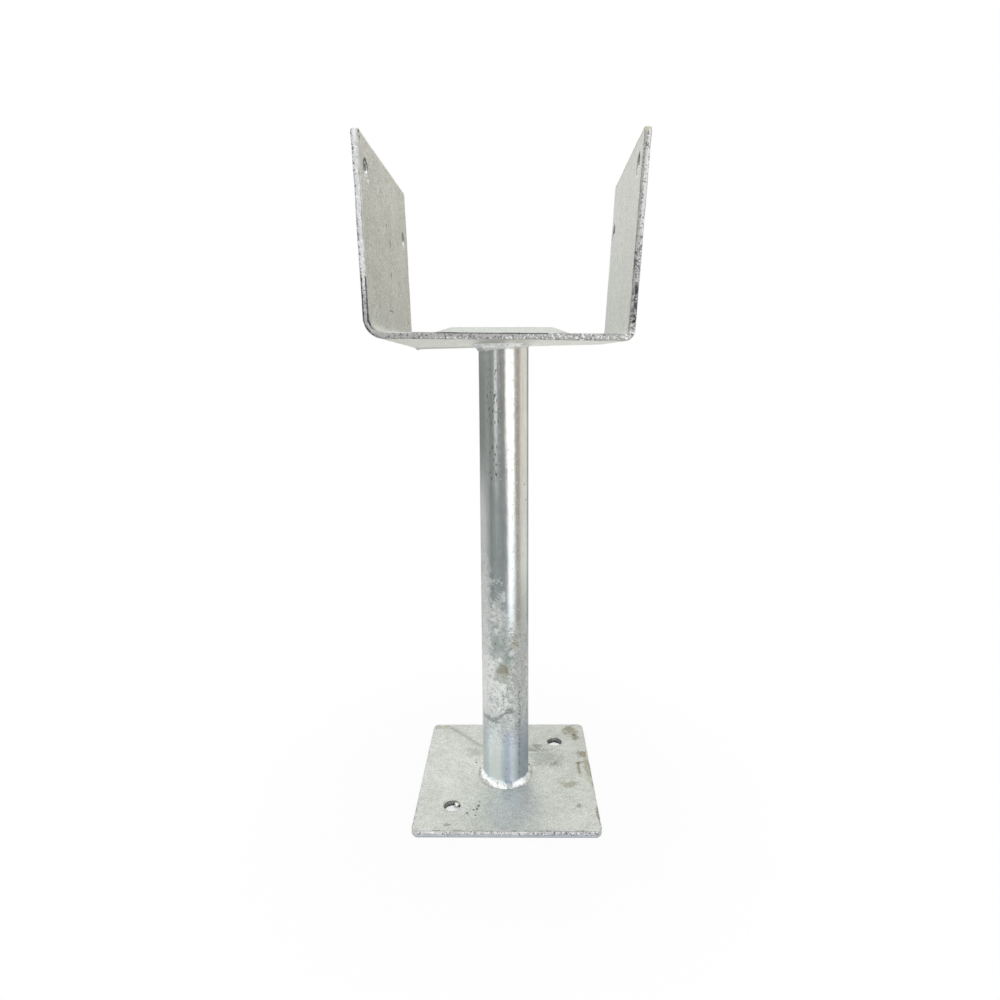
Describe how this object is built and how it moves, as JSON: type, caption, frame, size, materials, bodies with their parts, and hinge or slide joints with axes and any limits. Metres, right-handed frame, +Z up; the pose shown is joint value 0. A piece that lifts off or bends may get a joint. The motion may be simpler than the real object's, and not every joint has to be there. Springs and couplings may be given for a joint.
{
  "type": "timber post base",
  "caption": "Bolt-down post base: square base plate, short pipe leg and folded U saddle with a raised seat, in hot-dip galvanised steel.",
  "frame": {"origin": "centre of the base plate's underside, which is the centre of the two anchor holes", "axes": "+Z up along the leg, +X across the saddle from flange to flange, +Y through the saddle from its open front to its open back; the base plate's sides are parallel to X and Y"},
  "size_m": [0.1328, 0.1084, 0.3462],
  "materials": {
    "plate_zinc": "dull hot-dip zinc, mottled and stained",
    "pipe_zinc": "bright hot-dip zinc, drawn smooth, mottled lower down",
    "saddle_zinc": "pale hot-dip zinc, satin",
    "seat_zinc": "pale hot-dip zinc, satin",
    "weld_zinc": "bright lumpy zinc over a hand-laid weld"
  },
  "bodies": {
    "root": {"base_plate": "plate_zinc", "leg_pipe": "pipe_zinc", "foot_weld": "weld_zinc", "head_weld": "weld_zinc", "saddle": "saddle_zinc", "seat_plate": "seat_zinc"}
  },
  "joints": []
}
